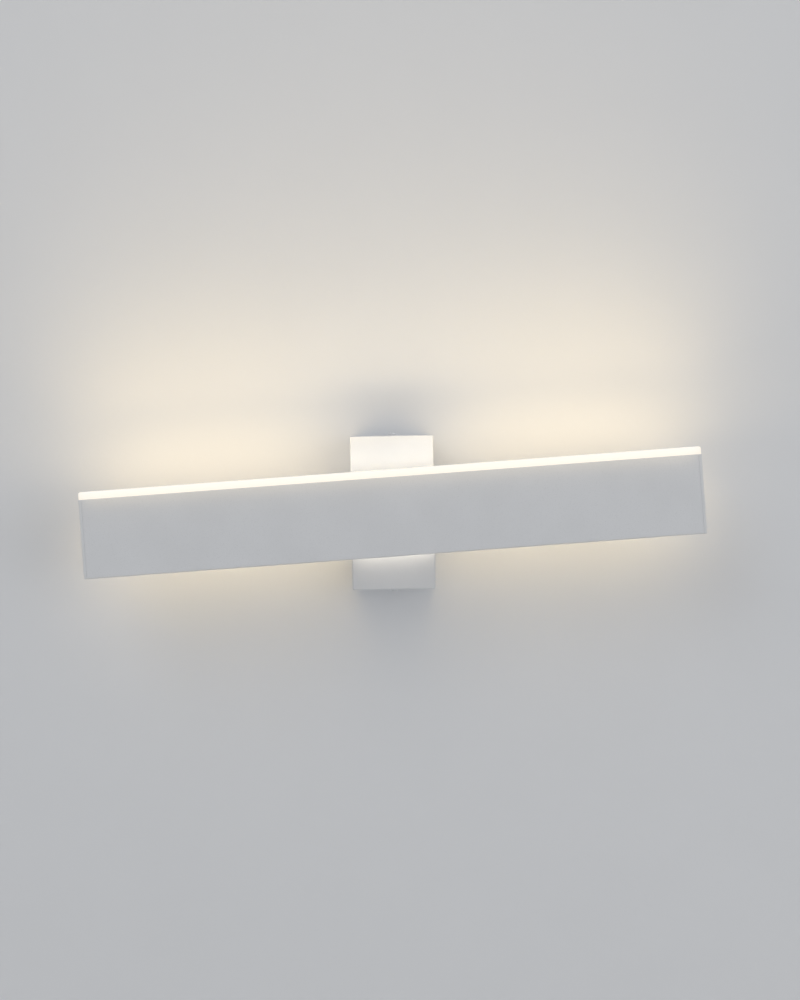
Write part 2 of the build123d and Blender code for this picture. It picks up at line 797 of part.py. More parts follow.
port_out = chamber_half - port_radius + bar_wall / 2
port_places = [
    (bar_middle + side * port_out, bar_floor + port_radius - bar_wall / 2) for side in (-1, 1)
]

with BuildPart() as bar_profile:
    with BuildSketch(bar_side):
        with Locations((bar_middle, bar_rim - bar_height / 2)):
            RectangleRounded(bar_depth, bar_height, bar_corner)
        with Locations((bar_middle, bar_rim - bar_height / 2 + bar_wall)):
            Rectangle(2 * chamber_half, bar_height, mode=Mode.SUBTRACT)
        for side in (-1, 1):
            wall_face = bar_middle + side * chamber_half
            with Locations((wall_face - side * rib / 2, tray_seat - rib / 2)):
                Rectangle(rib, rib)
            with Locations((wall_face - side * rib / 3, board_seat + slip / 2 + rib / 3)):
                Rectangle(rib * 2 / 3, rib * 2 / 3)
            with Locations((wall_face - side * rib / 2, shoulder - rib / 2)):
                Rectangle(rib, rib)
        with Locations(*port_places):
            Circle(port_radius)
            Circle(screw_m3[0] - close_fit + run_fit, mode=Mode.SUBTRACT)
        for place in port_places:
            with Locations((place[0], place[1] + port_radius / 2)):
                Rectangle(screw_m3[0], port_radius, mode=Mode.SUBTRACT)
    extrude(amount=profile_length / 2, both=True)
    with BuildSketch(bar.offset(bar_back)):
        Circle(stem_radius + close_fit)
        with Locations(*screw_ring):
            Circle(screw_m3[0] + close_fit)
    extrude(amount=bar_wall, mode=Mode.SUBTRACT)
keep(bar_profile, "bar_profile")

tongue_top = tray_seat - rib - slip
tongue_bottom = bar_floor + 2 * port_radius


def end_cap(side):
    """Flat cap over one end, with two tongues inside the bar and two countersunk holes."""
    end = bar.from_local_coords((side * profile_length / 2, 0, 0))
    face = Plane(end, x_dir=bar.z_dir, z_dir=bar.x_dir * side)
    flip = -side  # the plane's y points down on the right-hand end
    with BuildPart() as cap:
        with BuildSketch(face):
            with Locations((bar_middle, flip * (bar_rim - bar_height / 2))):
                RectangleRounded(bar_depth, bar_height, bar_corner)
        extrude(amount=end_cap_thickness)
        chamfer(cap.faces().sort_by(Axis(face.origin, face.z_dir))[-1].edges(), edge)
        chamfer(cap.faces().sort_by(Axis(face.origin, face.z_dir))[0].edges(), end_cap_bevel)
        with BuildSketch(face):
            for way in (-1, 1):
                middle = bar_middle + way * (chamber_half - slip - cap_tongue_sheet / 2)
                with Locations((middle, flip * (tongue_top + tongue_bottom) / 2)):
                    Rectangle(cap_tongue_sheet, tongue_top - tongue_bottom)
        extrude(amount=-cap_tongue_length)
        with Locations(
            *[face.offset(end_cap_thickness) * Location((x, flip * y, 0)) for x, y in port_places]
        ):
            CounterSinkHole(screw_m3[0] + close_fit, screw_m3[1] + close_fit, end_cap_thickness)
    return cap


keep(end_cap(-1), "end_cap_left")
keep(end_cap(1), "end_cap_right")

with BuildPart() as end_cap_screws:
    for side in (-1, 1):
        for out, up in port_places:
            middle = bar.from_local_coords((side * bar_length / 2, up, out))
            place = Plane(middle, x_dir=bar.z_dir, z_dir=bar.x_dir * side)
            with BuildSketch(place):
                Circle(screw_m3[1])
            extrude(amount=-(screw_m3[1] - screw_m3[0]), taper=45)
            with BuildSketch(place):
                Circle(screw_m3[0] - close_fit)
            extrude(amount=-cap_screw_length)
            with BuildSketch(place):
                Rectangle(screw_m3[3], 3 * screw_m3[1])
            extrude(amount=-screw_m3[4], mode=Mode.SUBTRACT)
keep(end_cap_screws, "end_cap_screws")

# ---------------------------------------------------------------- light engine

lead_hole_x = chip_pitch * lead_hole_step
connector_out = bar_middle - row_side
outer_step = int(chip_count / 2) - 4
inner_step = int(outer_step / 3)
screw_places = [
    (chip_pitch * step, -(bar_middle + row_side))
    for step in (-outer_step, -inner_step, inner_step, outer_step)
]

with BuildPart() as led_tray:
    with BuildSketch(bar_top.offset(tray_seat)):
        with Locations((0, -bar_middle)):
            Rectangle(profile_length - 2 * tray_end, 2 * tray_half)
        with Locations(*screw_places):
            Circle(screw_m25[0] + run_fit, mode=Mode.SUBTRACT)
        with Locations((lead_hole_x, -connector_out)):
            Circle(lead_radius + slip, mode=Mode.SUBTRACT)
    extrude(amount=tray_sheet)
keep(led_tray, "led_tray")

with BuildPart() as led_board:
    with BuildSketch(bar_top.offset(board_seat)):
        with Locations((0, -bar_middle)):
            Rectangle(board_length, board_width)
        with Locations(*screw_places):
            Circle(screw_m25[0] + close_fit, mode=Mode.SUBTRACT)
        with Locations((lead_hole_x, -connector_out)):
            Circle(lead_radius + slip, mode=Mode.SUBTRACT)
    extrude(amount=board_sheet)
keep(led_board, "led_board")

with BuildPart() as led_chips:
    with BuildSketch(bar_top.offset(chip_seat)):
        with Locations((0, -bar_middle)):
            with GridLocations(chip_pitch, 1, chip_count, 1):
                Rectangle(chip_length, chip_width)
    extrude(amount=chip_height)
keep(led_chips, "led_chips")

board_seats = [
    Plane(bar_top.from_local_coords((x, y, chip_seat)), x_dir=bar.x_dir, z_dir=bar.y_dir)
    for x, y in screw_places
]
keep(pan_screws(board_seats, board_screw, board_sheet + tray_sheet), "led_board_screws")

with BuildPart() as board_connector:
    with BuildSketch(bar_top.offset(chip_seat)):
        with Locations((lead_hole_x, -connector_out)):
            Rectangle(connector_length, connector_width)
    extrude(amount=connector_height)
    chamfer(board_connector.edges().group_by(Axis.Z)[-1], edge)
keep(board_connector, "board_connector")

stem_route = [
    (0, 0, stem_end),
    (0, 0, bar_middle),
    (lead_hole_x - lead_radius, 0, bar_middle),
    (lead_hole_x, tray_seat - lead_below, connector_out),
    (lead_hole_x, chip_seat, connector_out),
]
keep(lead(bar, stem_route, lead_radius), "led_lead")

hook_in = opal_half - rib - close_fit
with BuildPart() as diffuser:
    with BuildSketch(bar_side):
        with Locations((bar_middle, bar_rim + close_fit)):
            Rectangle(2 * opal_half, diffuser_stand - close_fit, align=(Align.CENTER, Align.MIN))
    extrude(amount=bar_length / 2, both=True)
    fillet(diffuser.faces().sort_by(Axis(bar.origin, bar.y_dir))[-1].edges(), diffuser_corner)
    with BuildSketch(bar_side):
        with Locations((bar_middle, bar_rim)):
            Rectangle(
                2 * (opal_half - diffuser_wall),
                diffuser_stand - diffuser_wall,
                align=(Align.CENTER, Align.MIN),
            )
    extrude(amount=bar_length / 2 - diffuser_wall, both=True, mode=Mode.SUBTRACT)
    with BuildSketch(bar_side):
        for side in (-1, 1):
            with BuildLine():
                Polyline(
                    *[
                        (bar_middle + side * x, y)
                        for x, y in (
                            (opal_half, bar_rim + 2 * close_fit),
                            (opal_half, shoulder + close_fit),
                            (hook_in, shoulder + close_fit),
                            (hook_in, shoulder - rib - close_fit),
                            (hook_in + rib * 2 / 3, shoulder - rib - close_fit),
                            (hook_in, shoulder - 2 * rib - close_fit),
                            (hook_in - rib, shoulder - 2 * rib - close_fit),
                            (hook_in - rib, shoulder + close_fit),
                            (opal_half - diffuser_wall, shoulder + diffuser_wall),
                            (opal_half - diffuser_wall, bar_rim + 2 * close_fit),
                        )
                    ],
                    close=True,
                )
            make_face()
    extrude(amount=profile_length / 2 - slip, both=True)
keep(diffuser, "diffuser")

print(f"stop pin and tongue meet {180 - contact_angle:.2f} degrees either side of level")
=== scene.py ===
"""Looks of a swivelling bar wall light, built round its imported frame.

Metres, in the frame of the model: +Z up, +Y into the wall, the origin on the swivel's axis in the
plane of the wall. The box and the bar are painted aluminium, and the bar has a lit opal cover along
its upper edge.
"""

import json
import math
from functools import cached_property

import bmesh
import bpy
import numpy as np
from mathutils import Matrix, Vector


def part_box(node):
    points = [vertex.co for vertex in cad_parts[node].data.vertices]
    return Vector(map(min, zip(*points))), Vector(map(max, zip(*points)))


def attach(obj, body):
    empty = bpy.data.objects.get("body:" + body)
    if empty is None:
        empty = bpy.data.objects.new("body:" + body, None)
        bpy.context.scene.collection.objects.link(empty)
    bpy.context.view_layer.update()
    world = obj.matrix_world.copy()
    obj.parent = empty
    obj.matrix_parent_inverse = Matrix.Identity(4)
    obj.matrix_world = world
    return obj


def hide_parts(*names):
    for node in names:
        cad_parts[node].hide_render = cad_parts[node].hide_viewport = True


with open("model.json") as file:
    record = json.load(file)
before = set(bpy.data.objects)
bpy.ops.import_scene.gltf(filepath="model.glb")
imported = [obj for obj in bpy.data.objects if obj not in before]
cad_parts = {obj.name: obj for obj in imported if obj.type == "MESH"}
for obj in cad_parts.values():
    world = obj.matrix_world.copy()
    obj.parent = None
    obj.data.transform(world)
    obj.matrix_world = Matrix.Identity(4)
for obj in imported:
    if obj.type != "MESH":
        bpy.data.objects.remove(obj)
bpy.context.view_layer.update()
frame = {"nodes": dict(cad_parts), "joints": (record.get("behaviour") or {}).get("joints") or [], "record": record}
NODES = frame["nodes"]
RECORD = frame["record"]

bl_info = {
    "name": "Swivelling Wall Light",
    "version": (1, 0, 0),
    "blender": (4, 5, 0),
    "location": "3D View > Sidebar > Wall Light",
    "description": "Dresses the frame of a swivelling bar wall light",
    "category": "Object",
}

MM = 0.001
SLOTS = {entry["slot"]: entry for entry in RECORD["materials"]}
SLOT_OF = {entry["node"]: entry["material_slot"] for entry in RECORD["subparts"]}
SWIVEL_RANGE = frame["joints"][0]["range_deg"]
TURN = math.radians(-sum(SWIVEL_RANGE) / 2)  # how far the bar stands off level
BAR_TURN = Matrix.Rotation(TURN, 4, (0, -1, 0))
BAR_LEVEL = BAR_TURN.inverted()

COVER_SCREW_SHANK = 1.5 * MM  # radius
END_SCREW_HEAD = 2.62 * MM  # radius
END_SCREW_DOME = 0.18 * MM  # rise of its head, and height of the band under its rim
END_SCREW_SHANK = 1.4 * MM  # radius
END_SCREW_SLOT_DEPTH = 0.9 * MM
END_SCREW_LEAN = (8, -31, 47, -12)  # how far each slot stands off the level, in degrees
END_SCREW_SUNK = 0.25 * MM  # below the end cap's face
BRACKET_SHEET = 1.5 * MM  # thickness of the bracket, which the grommet's neck passes through
GROMMET_WALL = 2 * MM  # from its bore to its neck, and from its neck to its rim
GROMMET_LIP = 0.35 * MM  # rounding of its mouths
CHIP_PITCH = 8 * MM  # between neighbouring chips, with a gap over the bar's middle
CHIP_CUP = 1.06 * MM  # radius of the phosphor in each chip
CHIP_PACKAGE = (0.86, 0.86, 0.84)
EARTH_STRIPE = (0.80, 0.66, 0.08)
DUST = (0.47, 0.45, 0.42)
SOLDER = (0.78, 0.76, 0.70)
OPAL = (0.43, 0.425, 0.415)  # body of the lit cover, dark so that lamps add little to its glow


def points_of(node):
    """Points of a node's mesh, one row each."""
    vertices = NODES[node].data.vertices
    flat = np.empty(3 * len(vertices))
    vertices.foreach_get("co", flat)
    return flat.reshape(-1, 3)


def levelled(points):
    """Points with the bar turned back to level."""
    return points @ np.array(BAR_LEVEL.to_3x3()).T


def level_box(node):
    """Lowest and highest corners of a node of the bar, with the bar turned back to level."""
    points = levelled(points_of(node))
    return points.min(0), points.max(0)


# ---------------------------------------------------------------- shader expressions


class Wire:
    """One output of a shader node. Arithmetic on it adds Math nodes."""

    def __init__(self, net, socket):
        self.net = net
        self.socket = socket

    def __add__(self, other):
        return self.net.math("ADD", self, other)

    def __sub__(self, other):
        return self.net.math("SUBTRACT", self, other)

    def __rsub__(self, other):
        return self.net.math("SUBTRACT", other, self)

    def __mul__(self, other):
        return self.net.math("MULTIPLY", self, other)

    def __truediv__(self, other):
        return self.net.math("DIVIDE", self, other)

    def __rtruediv__(self, other):
        return self.net.math("DIVIDE", other, self)

    def __pow__(self, other):
        return self.net.math("POWER", self, other)

    def __rpow__(self, other):
        return self.net.math("POWER", other, self)

    def __abs__(self):
        return self.net.math("ABSOLUTE", self)

    __radd__ = __add__
    __rmul__ = __mul__

    def over(self, low, high):
        """0 below the low value and 1 above the high one, smooth between them."""
        return self.net.node(
            "ShaderNodeMapRange",
            {"interpolation_type": "SMOOTHSTEP"},
            {"Value": self, "From Min": low, "From Max": high},
        )


class Net:
    """Node tree of a material or of the world."""

    def __init__(self, owner, end="ShaderNodeOutputMaterial"):
        owner.use_nodes = True
        self.owner = owner
        self.end = end
        self.tree = owner.node_tree
        self.tree.nodes.clear()

    @cached_property
    def place(self):
        """Object coordinates."""
        return self.node("ShaderNodeTexCoord", out="Object")

    def node(self, kind, settings=None, inputs=None, out=0):
        """Adds a node: its settings first, then its sockets' values or links. Returns one output."""
        made = self.tree.nodes.new(kind)
        for key, value in (settings or {}).items():
            setattr(made, key, value)
        for key, value in (inputs or {}).items():
            if isinstance(value, Wire):
                self.tree.links.new(value.socket, made.inputs[key])
            else:
                made.inputs[key].default_value = value
        return None if out is None else Wire(self, made.outputs[out])

    def math(self, operation, *terms):
        """A Math node."""
        return self.node("ShaderNodeMath", {"operation": operation}, dict(enumerate(terms)))

    def mix(self, share, first, second):
        """Colour between two colours, which are the node's sockets 6 and 7 and its output 2."""
        sides = [c if isinstance(c, Wire) else (*c, 1.0) for c in (first, second)]
        return self.node(
            "ShaderNodeMix",
            {"data_type": "RGBA"},
            {"Factor": share, 6: sides[0], 7: sides[1]},
            out=2,
        )

    def blend(self, share, first, second):
        """Shader between two shaders."""
        return self.node("ShaderNodeMixShader", None, {"Fac": share, 1: first, 2: second})

    def noise(self, size, detail=2.0, rough=0.5, at=None):
        """Noise whose features have that size in metres."""
        return self.node(
            "ShaderNodeTexNoise",
            None,
            {
                "Vector": at or self.place,
                "Scale": 1.0 / size,
                "Detail": detail,
                "Roughness": rough,
            },
        )

    def moved(self, shift=(0, 0, 0), turn=(0, 0, 0), scale=(1, 1, 1)):
        """The piece's own coordinates, shifted, turned and stretched."""
        return self.node(
            "ShaderNodeMapping",
            None,
            {"Vector": self.place, "Location": shift, "Rotation": turn, "Scale": scale},
        )

    def part(self, vector, axis):
        """One coordinate of a vector."""
        return self.node("ShaderNodeSeparateXYZ", None, {0: vector}, out=axis)

    def bump(self, height, depth, strength=1.0):
        """Normal from a height between 0 and 1 that stands for that depth in metres."""
        return self.node(
            "ShaderNodeBump", None, {"Height": height, "Distance": depth, "Strength": strength}
        )

    def shown(self, shader):
        """Links a shader to the tree's output. Returns the material or the world."""
        self.node(self.end, None, {"Surface": shader}, out=None)
        return self.owner

    def surface(self, **sockets):
        """Principled shader on the tree's output, each socket named with _ for its spaces."""
        values = {name.replace("_", " "): value for name, value in sockets.items()}
        return self.shown(self.node("ShaderNodeBsdfPrincipled", None, values))


def material_net(name):
    """Node tree of a new material."""
    return Net(bpy.data.materials.new(name))


def tint(colour, factor):
    """A colour made darker or lighter by one factor."""
    return tuple(min(1.0, c * factor) for c in colour)


# ---------------------------------------------------------------- finishes


def powder_coat(name, colour, roughness):
    """Satin powder coat: fine grains over a soft orange peel, painted shade in the grains' hollows, dust where it
    faces up.
    """
    net = material_net(name)
    grain = net.noise(0.45 * MM, detail=2.0, rough=0.6)
    peel = net.noise(2.6 * MM, detail=1.0)
    cloud = net.noise(38 * MM, detail=3.0)
    height = grain * 0.55 + peel * 0.45
    up = net.part(net.node("ShaderNodeNewGeometry", out="Normal"), "Z").over(0.75, 0.98)
    dust = up * net.noise(7 * MM, detail=6.0, rough=0.65).over(0.42, 0.72) * 0.22
    body = net.mix(cloud.over(0.3, 0.7), tint(colour, 0.972), tint(colour, 1.01))
    # painted shade: where the grain is low, in the hollows of its bump, the coat is darkened
    body = net.mix(grain.over(0.30, 0.42), tint(colour, 0.90), body)
    body = net.mix(dust, body, DUST)
    return net.surface(
        Base_Color=body,
        Roughness=roughness + grain * 0.10 + dust * 0.8,
        Normal=net.bump(height, 0.045 * MM, 0.75),
        Specular_IOR_Level=0.45,
    )


def lit_opal(name, colour, warm, strength):
    """Opal cover lit from inside: whitest over the row of chips, warmer towards its edges and ends."""
    net = material_net(name)
    low, high = level_box("diffuser")
    stand = high[2] - level_box("bar_profile")[1][2]
    tip = high[0]
    level = net.moved(turn=(0, TURN, 0))
    middle = (low[1] + high[1]) / 2
    half = (high[1] - low[1]) / 2
    across = abs(net.part(level, "Y") - middle) / half
    below = (high[2] - net.part(level, "Z")) / stand
    ends = abs(net.part(level, "X")).over(tip - 4.5 * MM, tip + 0.3 * MM)
    share = across**2 * 0.30 + below.over(0.1, 1.2) * 0.45 + ends * 0.25
    grain = net.noise(0.5 * MM, detail=2.0)
    return net.surface(
        Base_Color=net.mix(grain, tint(OPAL, 0.93), OPAL),
        Roughness=0.34 + grain * 0.08,
        Emission_Color=net.mix(share, colour, warm),
        Emission_Strength=strength,
        Normal=net.bump(grain, 0.01 * MM, 0.5),
    )


def moulded(name, colour, roughness, grain_size=0.6 * MM, spread=0.06):
    """Moulded plastic or rubber: fine spark-eroded grain and soft flow marks.

    The colour varies by the spread.
    """
    net = material_net(name)
    grain = net.noise(grain_size, detail=3.0, rough=0.55)
    flow = net.noise(11 * MM, detail=2.0, at=net.moved(scale=(1, 0.45, 1)))
    body = net.mix(flow.over(0.3, 0.7), tint(colour, 1 - spread), tint(colour, 1 + spread / 2))
    body = net.mix(grain.over(0.55, 0.75) * 0.35, body, tint(colour, 1 - 2 * spread))
    return net.surface(
        Base_Color=body,
        Roughness=roughness + grain * 0.12,
        Normal=net.bump(grain, 0.03 * MM, 0.6),
    )


def plated(name, colour, roughness, along=(1, 1, 1), spangle=0.0):
    """Plated, rolled or turned metal: drawn scratches, cloudy passivation and zinc spangle.

    The scratches run along the axis whose number is below 1, or round the axis whose number is high.
    """
    net = material_net(name)
    brush = net.noise(0.35 * MM, detail=4.0, rough=0.6, at=net.moved(scale=along))
    cloud = net.noise(6 * MM, detail=4.0)
    cells = net.node(
        "ShaderNodeTexVoronoi", {"feature": "F1"}, {"Vector": net.place, "Scale": 1 / (3 * MM)}, out=1
    )
    patch = net.part(cells, "X")
    body = net.mix(cloud.over(0.35, 0.68), tint(colour, 0.86), tint(colour, 1.04))
    body = net.mix(brush.over(0.35, 0.7) * 0.5, tint(colour, 0.9), body)
    return net.surface(
        Base_Color=body,
        Metallic=1.0,
        Roughness=roughness + cloud * 0.12 + brush * 0.08 + patch * spangle,
        Normal=net.bump(brush, 0.008 * MM, 0.5),
    )


def circuit_board(name, colour, pads, contrast):
    """Solder mask over copper planes, which show through it with that contrast, and bright pads."""
    net = material_net(name)
    cells = net.node(
        "ShaderNodeTexVoronoi",
        {"feature": "F1", "distance": "CHEBYCHEV"},
        {"Vector": net.place, "Scale": 1 / (2.6 * MM), "Randomness": 0.55},
    )
    gap = cells.over(0.40, 0.46)
    pad = 1 - cells.over(0.10, 0.14)
    body = net.mix(gap, tint(colour, 1 + contrast), tint(colour, 1 - contrast))
    body = net.mix(pad * pads, body, SOLDER)
    return net.surface(
        Base_Color=body,
        Roughness=0.30 + gap * 0.15,
        Normal=net.bump(1 - gap, 0.03 * MM),
    )


def led_package(name, colour, package):
    """Chips: a round cup of phosphor in the middle of each white package."""
    net = material_net(name)
    low, high = level_box("led_chips")
    middle = (low[1] + high[1]) / 2
    level = net.moved(turn=(0, TURN, 0))
    away = CHIP_PITCH / 2 - net.math("PINGPONG", net.part(level, "X"), CHIP_PITCH / 2)
    reach = net.math("SQRT", away**2 + (net.part(level, "Y") - middle) ** 2)
    grain = net.noise(0.3 * MM, detail=3.0)
    cup = 1 - reach.over(CHIP_CUP - 0.04 * MM, CHIP_CUP + 0.04 * MM)
    return net.surface(
        Base_Color=net.mix(cup, net.mix(grain, tint(package, 0.95), package), colour),
        Roughness=0.42 - cup * 0.16 + grain * 0.06,
        Normal=net.bump(cup * 0.6 + grain * 0.1, 0.06 * MM),
    )


def striped(name, colour, stripe):
    """Earth core: two colours of insulation that lie in lengthwise bands."""
    net = material_net(name)
    grain = net.noise(0.4 * MM, detail=2.0)
    band = net.node(
        "ShaderNodeTexWave",
        {"wave_type": "BANDS", "bands_direction": "DIAGONAL"},
        {"Vector": net.place, "Scale": 1 / (7.5 * MM), "Distortion": 0.6},
    )
    return net.surface(
        Base_Color=net.mix(band.over(0.42, 0.5), colour, stripe),
        Roughness=0.42 + grain * 0.08,
        Normal=net.bump(grain, 0.01 * MM),
    )


def make_finish(slot, look):
    """Makes the material of one slot, from its colour in the record and the user's settings."""
    colour = tuple(SLOTS[slot]["base_color"])
    paint = tuple(look.paint)
    warm = tuple(look.glow_warm)
    makers = {
        "white_paint": lambda: powder_coat(slot, paint, look.roughness),
        "white_screw": lambda: powder_coat(slot, tint(paint, 0.97), look.roughness - 0.06),
        "opal": lambda: lit_opal(slot, tuple(look.glow), warm, look.glow_strength),
        "bracket_steel": lambda: plated(slot, colour, 0.30, along=(1, 1, 0.08), spangle=0.12),
        "screw_steel": lambda: plated(slot, colour, 0.24),
        "stem_steel": lambda: plated(slot, colour, 0.22, along=(1, 9, 1)),
        "spring_steel": lambda: plated(slot, colour, 0.26),
        "terminal_brass": lambda: plated(slot, colour, 0.24, along=(1, 1, 0.2)),
        "earth_copper": lambda: plated(slot, colour, 0.32),
        "tray_aluminium": lambda: plated(slot, colour, 0.34, along=(0.05, 1, 1)),
        "rubber_black": lambda: moulded(slot, colour, 0.62, grain_size=0.9 * MM, spread=0.2),
        "washer_fibre": lambda: moulded(slot, colour, 0.66, grain_size=0.5 * MM, spread=0.2),
        "ferrite": lambda: moulded(slot, colour, 0.58, grain_size=0.7 * MM, spread=0.15),
        "capacitor_sleeve": lambda: moulded(slot, colour, 0.22, grain_size=1.2 * MM, spread=0.1),
        "filter_plastic": lambda: moulded(slot, colour, 0.24, grain_size=1.0 * MM, spread=0.1),
        "led_phosphor": lambda: led_package(slot, colour, CHIP_PACKAGE),
        "board_green": lambda: circuit_board(slot, colour, pads=1.0, contrast=0.18),
        "board_white": lambda: circuit_board(slot, colour, pads=0.3, contrast=0.035),
        "lead_earth": lambda: striped(slot, colour, EARTH_STRIPE),
    }
    return makers.get(slot, lambda: moulded(slot, colour, 0.44))()


FINISHES = {}  # materials by their slot, filled as they are asked for


def finish_of(slot, look):
    """The material of one slot, made when it is first asked for."""
    if slot not in FINISHES:
        FINISHES[slot] = make_finish(slot, look)
    return FINISHES[slot]


def dress(nodes, look):
    """Gives CAD nodes the finish of their slot."""
    for node in nodes:
        mesh = NODES[node].data
        mesh.materials.clear()
        mesh.materials.append(finish_of(SLOT_OF[node], look))


# ---------------------------------------------------------------- surfaces


def slotted_disc(radius, dome, slot, depth, power, columns=28, rows=40):
    """Top of a slotted screw head, and its rim.

    A height over a disc. Columns run across the slot with x = radius sin a, those at the slot's walls
    doubled; along a column y = sqrt(radius^2 - x^2) sin b. The height is
    dome (1 - (r / radius)^power)^(1 / power), and the slot's floor lies its depth below the top.
    """
    half = slot / 2
    side = radius * np.sin(np.linspace(-np.pi / 2, -math.asin(half / radius), columns // 2))
    middle = np.linspace(-half, half, 5)
    x = np.concatenate([side, middle, -side[::-1]])
    cut = np.repeat([0, 1, 0], [len(side), len(middle), len(side)])
    grid_x, grid_b = np.meshgrid(x, np.linspace(-np.pi / 2, np.pi / 2, rows), indexing="ij")
    grid_y = np.sqrt(np.maximum(radius**2 - grid_x**2, 0)) * np.sin(grid_b)
    share = np.clip(np.hypot(grid_x, grid_y) / radius, 0, 1)
    crown = dome * (1 - share**power) ** (1 / power)
    grid_z = np.where(cut[:, None] > 0, dome - depth, crown)
    head = np.stack([grid_x, grid_y, grid_z], -1)
    return head, np.concatenate([head[:, 0], head[::-1, -1]])


def rings_below(rim, profile):
    """Underside of a screw: its head's rim, then rings of one profile of radius and height."""
    flat = rim * np.array([1, 1, 0])
    unit = flat / np.linalg.norm(flat, axis=1, keepdims=True)
    rings = [rim] + [unit * radius + np.array([0, 0, height]) for radius, height in profile]
    return np.array(rings)


def pan_screw(radius, dome, slot, depth, shank, length):
    """Slotted pan-head screw, the underside of its head at height 0."""
    head, rim = slotted_disc(radius, dome, slot, depth, 3.0)
    tip = shank / 3
    profile = [(radius, 0), (shank, 0), (shank, tip - length), (shank - tip, -length), (0, -length)]
    return [(head, False), (rings_below(rim, profile), True)]


def countersunk_screw(radius, dome, slot, depth, shank, length):
    """Slotted countersunk screw, the rim of its head at height 0."""
    head, rim = slotted_disc(radius, dome, slot, depth, 2.0)
    tip = shank / 3
    profile = [
        (radius, -dome),
        (shank, -dome - (radius - shank)),
        (shank, tip - length),
        (shank - tip, -length),
        (0, -length),
    ]
    return [(head, False), (rings_below(rim, profile), True)]


def lathe(profile, steps=72):
    """Closed surface of revolution: each ring is a point of the profile carried round the axis."""
    angle = np.linspace(0, 2 * np.pi, steps, endpoint=False)
    radius, height = np.array(profile).T
    return np.stack(
        [
            radius[:, None] * np.cos(angle),
            radius[:, None] * np.sin(angle),
            np.broadcast_to(height[:, None], (len(height), steps)),
        ],
        -1,
    )


def arc(centre, radius, first, last, steps=7):
    """Points of a profile's rounding, from one angle to another in degrees."""
    angle = np.radians(np.linspace(first, last, steps))
    return [
        (centre[0] + radius * c, centre[1] + radius * s) for c, s in zip(np.cos(angle), np.sin(angle))
    ]


def grid_faces(rows, columns, wrapped, start):
    """Quads between neighbouring points of a grid, closed round its columns where it is wrapped."""
    index = start + np.arange(rows * columns).reshape(rows, columns)
    after = np.roll(index, -1, axis=1) if wrapped else index[:, 1:]
    here = index if wrapped else index[:, :-1]
    return np.stack([here[:-1], after[:-1], after[1:], here[1:]], -1).reshape(-1, 4)


def build(name, grids, places, material, smooth_angle=32):
    """Mesh object of grids of points, each repeated at every place.

    Doubles are merged, and faces point outwards.
    """
    points, faces, count = [], [], 0
    for place in places:
        turn = np.array(place.to_3x3())
        shift = np.array(place.translation)
        for grid, wrapped in grids:
            rows, columns = grid.shape[:2]
            points.append(grid.reshape(-1, 3) @ turn.T + shift)
            faces.append(grid_faces(rows, columns, wrapped, count))
            count += rows * columns
    mesh = bpy.data.meshes.new(name)
    mesh.from_pydata(np.concatenate(points).tolist(), [], np.concatenate(faces).tolist())
    shape = bmesh.new()
    shape.from_mesh(mesh)
    bmesh.ops.remove_doubles(shape, verts=shape.verts, dist=1e-7)
    bmesh.ops.dissolve_degenerate(shape, edges=shape.edges, dist=1e-8)
    bmesh.ops.recalc_face_normals(shape, faces=shape.faces)
    shape.to_mesh(mesh)
    shape.free()
    mesh.materials.append(material)
    mesh.shade_smooth()
    mesh.set_sharp_from_angle(angle=math.radians(smooth_angle))
    made = bpy.data.objects.new(name, mesh)
    bpy.context.scene.collection.objects.link(made)
    return made


def place_on(origin, normal, across):
    """Matrix that puts a piece's height along a normal, with a direction running across its slot."""
    z = Vector(normal).normalized()
    x = Vector(across).normalized()
    y = z.cross(x)
    turn = Matrix((x, y, z)).transposed().to_4x4()
    return Matrix.Translation(Vector(origin)) @ turn


def solids_of(node):
    """Points of each loose solid in a node, one array for each.

    Every point starts as its own owner. Then the corners of each triangle take the lowest owner among
    them, until nothing changes, and points with the same owner are one solid.
    """
    points = points_of(node)
    triangles = NODES[node].data.polygons
    flat = np.empty(3 * len(triangles), int)
    triangles.foreach_get("vertices", flat)
    same = np.unique(np.round(points, 7), axis=0, return_inverse=True)[1].ravel()
    corners = same[flat].reshape(-1, 3)
    owner = np.arange(same.max() + 1)
    before = None
    while before is None or (owner != before).any():
        before = owner.copy()
        low = owner[corners].min(axis=1)
        for side in range(3):
            np.minimum.at(owner, corners[:, side], low)
        owner = owner[owner]
    group = owner[same]
    return [points[group == label] for label in np.unique(group)]


# ---------------------------------------------------------------- user's sizes and colours


